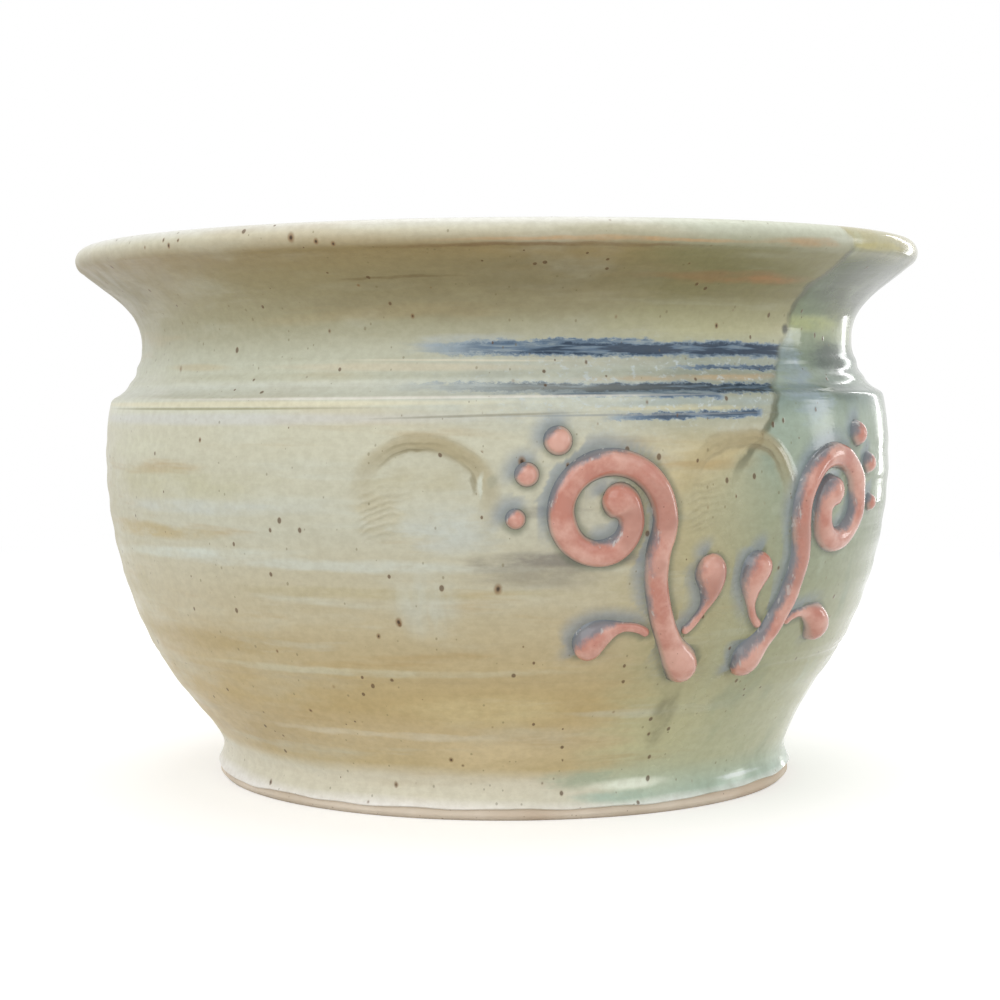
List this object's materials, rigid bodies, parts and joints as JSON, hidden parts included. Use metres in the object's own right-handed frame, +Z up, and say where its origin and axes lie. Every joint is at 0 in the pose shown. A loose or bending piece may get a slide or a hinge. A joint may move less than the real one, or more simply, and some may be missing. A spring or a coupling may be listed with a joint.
{
  "type": "cachepot",
  "caption": "Wheel-thrown round cachepot with a full belly, drawn-in neck, flared rim with a rolled lip, turned foot, pressed shells and raised slip sprigs.",
  "frame": {"origin": "centre of the foot's underside, on the surface that the pot stands on", "axes": "+Z up along the pot's own axis, -Y towards the front, +X to the right seen from the front"},
  "size_m": [0.24, 0.24, 0.1505],
  "materials": {
    "clay": "bare fired stoneware, matt, fine iron specks",
    "outside_glaze": "glossy cream, ochre and sage green glaze in thrown bands, cobalt streaks at the neck, iron specks",
    "inside_glaze": "glossy pale grey-green glaze with faint throwing rings",
    "slip": "glossy salmon pink raised slip"
  },
  "bodies": {
    "root": {"clay_body": "clay", "outside_glaze": "outside_glaze", "inside_glaze": "inside_glaze", "slip_curl_1": "slip", "slip_curl_2": "slip", "slip_leaf_1": "slip", "slip_leaf_2": "slip", "slip_leaf_3": "slip", "slip_leaf_4": "slip", "slip_dot_1": "slip", "slip_dot_2": "slip", "slip_dot_3": "slip", "slip_dot_4": "slip", "slip_dot_5": "slip", "slip_dot_6": "slip"}
  },
  "joints": []
}
